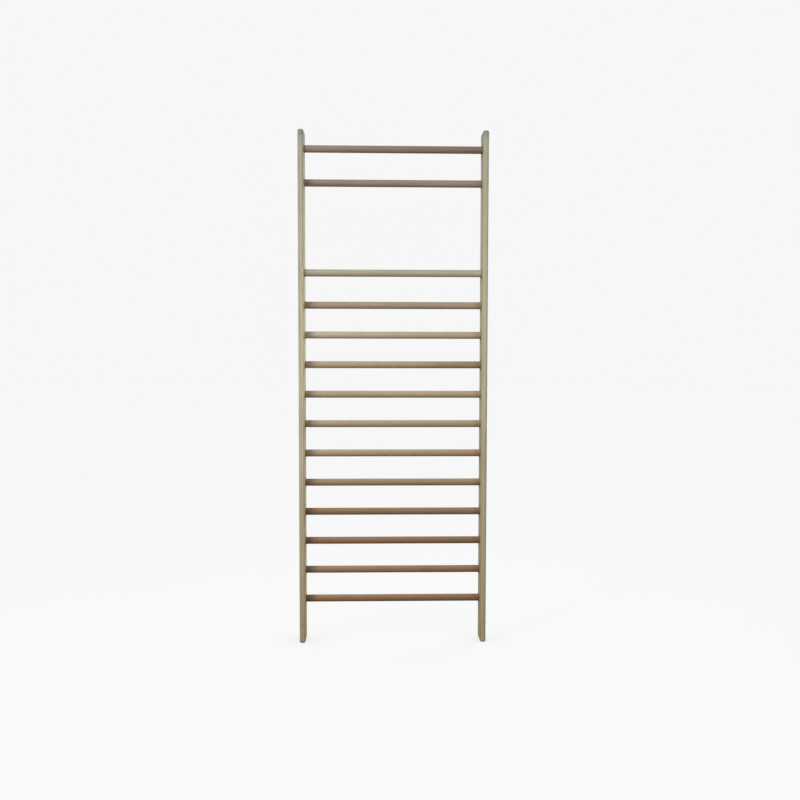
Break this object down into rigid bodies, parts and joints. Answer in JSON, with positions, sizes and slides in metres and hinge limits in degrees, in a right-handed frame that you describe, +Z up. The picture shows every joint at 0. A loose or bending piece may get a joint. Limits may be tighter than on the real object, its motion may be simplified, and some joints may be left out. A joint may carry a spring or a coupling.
{
  "type": "wall bars",
  "caption": "Ladder-like gymnasium wall bars of pale wood: round climbing rungs screwed between upright boards, with a gap at head height and some rungs set forward for hanging.",
  "frame": {"origin": "on the floor, midway between the uprights and midway through their depth", "axes": "+Z up along the uprights, +Y towards the wall, +X to the right for someone facing the bars"},
  "size_m": [0.9, 0.1, 2.446],
  "materials": {
    "upright_wood": "satin clear varnish",
    "rung_wood": "satin clear varnish, worn by hands",
    "screw_steel": "zinc plated"
  },
  "bodies": {
    "root": {"upright_left": "upright_wood", "upright_right": "upright_wood", "rung_01": "rung_wood", "rung_02": "rung_wood", "rung_03": "rung_wood", "rung_04": "rung_wood", "rung_05": "rung_wood", "rung_06": "rung_wood", "rung_07": "rung_wood", "rung_08": "rung_wood", "rung_09": "rung_wood", "rung_10": "rung_wood", "rung_11": "rung_wood", "rung_12": "rung_wood", "rung_13": "rung_wood", "rung_14": "rung_wood", "rung_screw_left_01": "screw_steel", "rung_screw_left_02": "screw_steel", "rung_screw_left_03": "screw_steel", "rung_screw_left_04": "screw_steel", "rung_screw_left_05": "screw_steel", "rung_screw_left_06": "screw_steel", "rung_screw_left_07": "screw_steel", "rung_screw_left_08": "screw_steel", "rung_screw_left_09": "screw_steel", "rung_screw_left_10": "screw_steel", "rung_screw_left_11": "screw_steel", "rung_screw_left_12": "screw_steel", "rung_screw_left_13": "screw_steel", "rung_screw_left_14": "screw_steel", "rung_screw_right_01": "screw_steel", "rung_screw_right_02": "screw_steel", "rung_screw_right_03": "screw_steel", "rung_screw_right_04": "screw_steel", "rung_screw_right_05": "screw_steel", "rung_screw_right_06": "screw_steel", "rung_screw_right_07": "screw_steel", "rung_screw_right_08": "screw_steel", "rung_screw_right_09": "screw_steel", "rung_screw_right_10": "screw_steel", "rung_screw_right_11": "screw_steel", "rung_screw_right_12": "screw_steel", "rung_screw_right_13": "screw_steel", "rung_screw_right_14": "screw_steel"}
  },
  "joints": []
}
